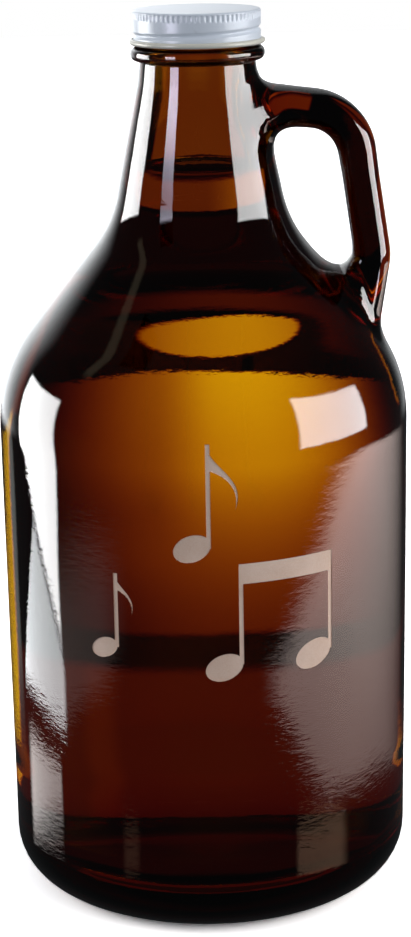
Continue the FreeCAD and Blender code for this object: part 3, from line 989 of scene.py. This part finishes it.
def light_behind(sky):
    """What shows through the glass past the card: a dark room with a warm glow low down all round."""
    level = (above(-34, 3), below(-6, 2))
    glows = [sky.panel(0.012, (1, 0.4, 0.3))]
    for middle in (-90, 90):
        glows.append(sky.panel(0.9, STRAW, right_of(middle - 22, 14), left_of(middle + 22, 14), *level))
    for side in (right_of(155, 14), left_of(-155, 14)):
        glows.append(sky.panel(0.35, STRAW, side, *level))
    return sky.total(glows)


def soft_light(sky):
    """What matt surfaces gather: a ceiling, bright walls left and right and a dim front."""
    wall, level = (1.7, (0.97, 0.97, 1)), (above(-10, 12), below(42, 10))
    return sky.total([
        sky.panel(0.17, (0.80, 0.94, 1.16)),
        sky.panel(0.1, (1, 0.98, 0.95), above(40, 25)),
        sky.panel(*wall, left_of(-60, 10), right_of(-120, 10), *level),
        sky.panel(*wall, right_of(60, 10), left_of(150, 10), *level),
    ])


def make_world():
    """Mirrors, clear materials, matt surfaces and the camera each meet a light of their own."""
    world = bpy.data.worlds.new("studio")
    bpy.context.scene.world = world
    world.use_nodes = True
    nodes = Nodes(world.node_tree, "ShaderNodeOutputWorld")
    sky = Sky(nodes)
    path = nodes.add("ShaderNodeLightPath")
    colour = nodes.blend(path.outputs["Is Glossy Ray"], soft_light(sky), mirrored_light(sky))
    colour = nodes.blend(path.outputs["Is Transmission Ray"], colour, light_behind(sky))
    colour = nodes.blend(path.outputs["Is Camera Ray"], colour, (1, 1, 1, 1))
    nodes.surface("ShaderNodeBackground", Color=colour, Strength=1.0)


# ---- glow behind the jug ----

CARD_BACK, CARD_HALF, CARD_LOW, CARD_HIGH = 90, 95, -70, 290
GLOW_CREST, GLOW_CLIMB = 128, 0.0322


class CardRays:
    """Where a ray through the glass meets the card, in millimetres, and its way, in degrees.

    turn is its azimuth, and descent is how steeply it falls."""

    def __init__(self, nodes):
        self.nodes = nodes
        geometry = nodes.add("ShaderNodeNewGeometry")
        place = nodes.add("ShaderNodeSeparateXYZ", Vector=geometry.outputs["Position"])
        self.right = nodes.product(place.outputs[0], 1 / MM)
        self.up = nodes.product(place.outputs[2], 1 / MM)
        back = nodes.add("ShaderNodeSeparateXYZ", Vector=geometry.outputs["Incoming"])
        ahead = [nodes.product(back.outputs[axis], -1) for axis in (0, 1)]
        self.turn = nodes.degrees(nodes.math("ARCTAN2", *ahead))
        self.descent = nodes.degrees(nodes.math("ARCSINE", back.outputs[2]))

    def share(self, value, middle, width):
        """How far a value is from the middle, counted in widths."""
        return self.nodes.math("DIVIDE", self.nodes.math("SUBTRACT", value, middle), width)

    def middle_bell(self):
        """1 a little left of the jug's middle, fading to both sides like a bell."""
        off = self.share(self.turn, -7, 20)
        return self.nodes.math("EXPONENT", self.nodes.product(self.nodes.square(off), -1))

    def band(self, value, low, lit, still_lit, high):
        """0 up to low, 1 from lit to still_lit, 0 from high."""
        over = self.nodes.spread
        return self.nodes.product(over(value, low, lit), over(value, high, still_lit))


def body_glow(rays):
    """The amber glow in the body: strongest at the crest, dimmer up on the left."""
    nodes, over = rays.nodes, rays.nodes.spread
    climb = nodes.math("SUBTRACT", nodes.math("MINIMUM", rays.up, GLOW_CREST), GLOW_CREST)
    height = nodes.math("EXPONENT", nodes.product(climb, GLOW_CLIMB))
    upper_left = nodes.product(over(rays.turn, -2, 7), over(rays.up, 84, 108))
    return nodes.product(
        height, rays.band(rays.up, 60.5, 63.5, 140, 150), rays.band(rays.descent, 9, 13, 25.5, 25.9),
        rays.middle_bell(), nodes.math("MULTIPLY_ADD", upper_left, -0.36, 1), 0.65)


def shoulder_glow(rays):
    """The oval of light in the shoulder."""
    nodes = rays.nodes
    aside, aloft = rays.share(rays.turn, -3.5, 14), rays.share(rays.up, 137.6, 7)
    off = nodes.math("ADD", nodes.square(aside), nodes.square(aloft))
    return nodes.product(
        nodes.spread(off, 1.15, 0.85), rays.band(rays.descent, 25.5, 25.9, 28.4, 28.9),
        rays.middle_bell(), 0.5)


def neck_glows(rays):
    """The empty neck, the beer in the neck, and the dim zone between it and the shoulder."""
    nodes, over = rays.nodes, rays.nodes.spread
    aside = nodes.math("ABSOLUTE", rays.right)
    brighter_left = nodes.math("MULTIPLY_ADD", over(rays.right, -1, -12), 0.12, 0.085)
    return [
        nodes.product(over(rays.up, 205, 222), over(aside, 35, 31), over(rays.descent, 0, 4), 0.105),
        nodes.product(
            rays.band(rays.up, 148, 154, 203, 207), rays.band(rays.descent, 4, 8, 31, 33),
            over(aside, 32, 28), brighter_left),
        nodes.product(
            rays.band(rays.descent, 29.2, 30.7, 33, 36), over(rays.up, 175, 160), rays.middle_bell(), 0.05),
    ]


def foot_glows(rays):
    """The dim red of the lowest part of the body, a brighter leg in it, and the heel."""
    nodes, over = rays.nodes, rays.nodes.spread
    table = nodes.product(over(rays.up, 51, 46), over(rays.descent, -6, 2), 0.043)
    return [
        table, nodes.product(table, rays.band(rays.turn, 12, 16, 18, 22), 0.42),
        nodes.product(rays.band(rays.descent, -43, -38, -6, 0), over(rays.up, 74, 64), 0.016),
    ]


def edge_glows(rays):
    """The golden lines along the jug's left and right outlines, and the left one's dim foot."""
    nodes, over = rays.nodes, rays.nodes.spread
    outside = nodes.math("ADD", over(rays.descent, 20, 22), over(rays.descent, -4, -8))
    return [
        nodes.product(rays.band(rays.turn, 52, 56, 78, 84), rays.band(rays.descent, 9, 12, 20, 21.5), 0.95),
        nodes.product(rays.band(rays.turn, 44, 52, 78, 84), over(rays.descent, 20, 21.5), 0.13),
        nodes.product(rays.band(rays.turn, -82, -77, -59, -55), outside, 0.4),
    ]


def glow_material():
    """Light that turns from deep red to gold as it gets stronger."""
    material, nodes = new_material("glow_card")
    rays = CardRays(nodes)
    glows = [body_glow(rays), shoulder_glow(rays)] + neck_glows(rays) + foot_glows(rays) + edge_glows(rays)
    level = nodes.chain("ADD", glows)
    green = nodes.product(nodes.math("POWER", level, 1.75), 2.54)
    colour = nodes.add(
        "ShaderNodeCombineXYZ", X=nodes.product(level, 1.39), Y=green, Z=nodes.product(level, 0.3))
    nodes.surface("ShaderNodeEmission", Color=colour.outputs[0], Strength=1.0)
    return material


def hide_from(piece, kinds):
    """Make a piece of the stage invisible to some kinds of ray."""
    for kind in kinds:
        setattr(piece, "visible_" + kind, False)


def make_glow_card():
    """A lit card right behind the jug that only rays through the glass can meet."""
    corners = [(-CARD_HALF, CARD_LOW), (CARD_HALF, CARD_LOW), (CARD_HALF, CARD_HIGH), (-CARD_HALF, CARD_HIGH)]
    card = new_piece("glow_card", [(x, CARD_BACK, z) for x, z in corners], [(0, 1, 2, 3)])
    card.data.materials.append(glow_material())
    hide_from(card, ("camera", "diffuse", "glossy", "volume_scatter", "shadow"))


# ---- stage ----

STRIP_PLACE = (-67.0, -74.6)
STRIP_FACING = math.radians(47)
STRIP_HALF = 14.0
STRIP_LOW, STRIP_BRIGHT, STRIP_HIGH = 244.0, 278.0, 292.0


def make_strip_lamp():
    """A tall narrow lamp close to the neck that only the neck's and the cap's mirror reflections can meet."""
    half = np.array([math.cos(STRIP_FACING), -math.sin(STRIP_FACING)]) * STRIP_HALF
    feet = [tuple(np.array(STRIP_PLACE) + side * half) for side in (1, -1)]
    corners = [(x, y, z) for z, row in ((STRIP_LOW, feet), (STRIP_HIGH, feet[::-1])) for x, y in row]
    lamp = new_piece("strip_lamp", corners, [(0, 1, 2, 3)])
    material, nodes = new_material("strip_lamp")
    geometry = nodes.add("ShaderNodeNewGeometry")
    up = nodes.add("ShaderNodeSeparateXYZ", Vector=geometry.outputs["Position"]).outputs[2]
    climb = nodes.add("ShaderNodeSeparateXYZ", Vector=geometry.outputs["Incoming"]).outputs[2]
    strength = nodes.product(
        nodes.spread(up, STRIP_LOW * MM, STRIP_BRIGHT * MM, 4.0, 15.0), nodes.spread(climb, -0.46, -0.38))
    nodes.surface("ShaderNodeEmission", Color=(0.86, 0.82, 1, 1), Strength=strength)
    lamp.data.materials.append(material)
    hide_from(lamp, ("camera", "diffuse", "transmission", "volume_scatter", "shadow"))


def make_floor():
    """A pale table. Its diffuse shader is added to itself, because little light reaches it."""
    reach = 3000
    corners = [(-reach, -reach, 0), (reach, -reach, 0), (reach, reach, 0), (-reach, reach, 0)]
    floor = new_piece("floor", corners, [(0, 1, 2, 3)])
    material, nodes = new_material("pale_floor")
    pale = nodes.add("ShaderNodeBsdfDiffuse", Color=(1, 0.95, 0.9, 1)).outputs[0]
    bright = pale
    for _ in range(3):
        more = nodes.add("ShaderNodeAddShader")
        nodes.put(more.inputs[0], pale)
        nodes.put(more.inputs[1], bright)
        bright = more.outputs[0]
    nodes.put(nodes.out.inputs["Surface"], bright)
    floor.data.materials.append(material)
    hide_from(floor, ("glossy", "transmission", "diffuse"))


def make_lights():
    """Two soft lamps that light the matt surfaces and cast the jug's faint shadows."""
    for name, place, size, power in (
        ("key", (1.1, -0.4, 0.5), 0.7, 1.5),
        ("fill", (-1.1, 0.1, 0.4), 0.5, 1.5),
    ):
        data = bpy.data.lights.new(name, "AREA")
        data.size = size
        data.energy = power
        lamp = bpy.data.objects.new(name, data)
        lamp.location = place
        lamp.rotation_euler = (Vector((0, 0, 0.2)) - lamp.location).to_track_quat("-Z", "Y").to_euler()
        hide_from(lamp, ("glossy", "transmission"))
        bpy.context.scene.collection.objects.link(lamp)


CAMERA_PITCH, CAMERA_ROLL = 0.2846, -0.0175
CAMERA_BACK, CAMERA_UP = 0.77698, 0.34567
CAMERA_LENS, CAMERA_SHIFT = 95.6, 0.0576


def make_camera():
    """The camera stands straight in front of the notes and looks a little down."""
    data = bpy.data.cameras.new("camera")
    data.sensor_width = 36
    data.lens = CAMERA_LENS
    data.shift_y = CAMERA_SHIFT
    data.clip_start = 0.01
    camera = bpy.data.objects.new("camera", data)
    ahead = Vector((0, math.cos(CAMERA_PITCH), -math.sin(CAMERA_PITCH)))
    level = Vector((1, 0, 0))
    upright = level.cross(ahead)
    cosine, sine = math.cos(CAMERA_ROLL), math.sin(CAMERA_ROLL)
    right = level * cosine + upright * sine
    upward = upright * cosine - level * sine
    camera.matrix_world = Matrix((
        (right.x, upward.x, -ahead.x, 0), (right.y, upward.y, -ahead.y, -CAMERA_BACK),
        (right.z, upward.z, -ahead.z, CAMERA_UP), (0, 0, 0, 1),
    ))
    bpy.context.scene.collection.objects.link(camera)
    bpy.context.scene.camera = camera


def make_stage():
    make_world()
    make_glow_card()
    make_strip_lamp()
    make_floor()
    make_lights()
    make_camera()
    scene = bpy.context.scene
    scene.view_settings.view_transform = "Standard"
    scene.cycles.max_bounces = 24
    scene.cycles.transmission_bounces = 24
    scene.cycles.glossy_bounces = 8
    scene.cycles.transparent_max_bounces = 32
    scene.cycles.caustics_reflective = False
    scene.cycles.caustics_refractive = False


# ---- putting it together ----


def finish_piece(piece, materials, body, node, sharp_degrees=40):
    """Give a piece its materials and smooth shading, tie it to the body it rides on and hide the CAD node it
    stands for.
    """
    for material in materials:
        piece.data.materials.append(material)
    shade_smooth(piece, sharp_degrees)
    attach(piece, body)
    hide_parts(node)


def main():
    jug, outline = make_jug()
    mark_jug(jug, outline)
    amber = clear_material("amber_glass", GLASS_IOR, GLASS_IOR / BEER_IOR, AMBER, AMBER_DENSITY, True)
    finish_piece(jug, [amber, frosted_material()], "jug", "bottle")

    clear_beer = clear_material("beer", BEER_IOR, 1.0, BEER_COLOUR, BEER_DENSITY, False)
    finish_piece(make_beer(), [clear_beer], "jug", "beer", 60)

    white = lacquer_material("white_lacquer", (0.78, 0.83, 0.89, 1), (0.60, 0.63, 0.68, 1))
    ivory = lacquer_material("ivory_lacquer", (0.74, 0.71, 0.60, 1), (0.52, 0.48, 0.38, 1))
    finish_piece(make_cap(), [white, ivory], "cap", "cap_shell")

    card = make_layer("liner_card", "liner_board", 0.0)
    finish_piece(card, [board_material()], "cap_liner", "liner_board")
    film = make_layer("liner_film", "liner_facing", 0.06)
    finish_piece(film, [film_material()], "cap_liner", "liner_facing")
    make_stage()


main()
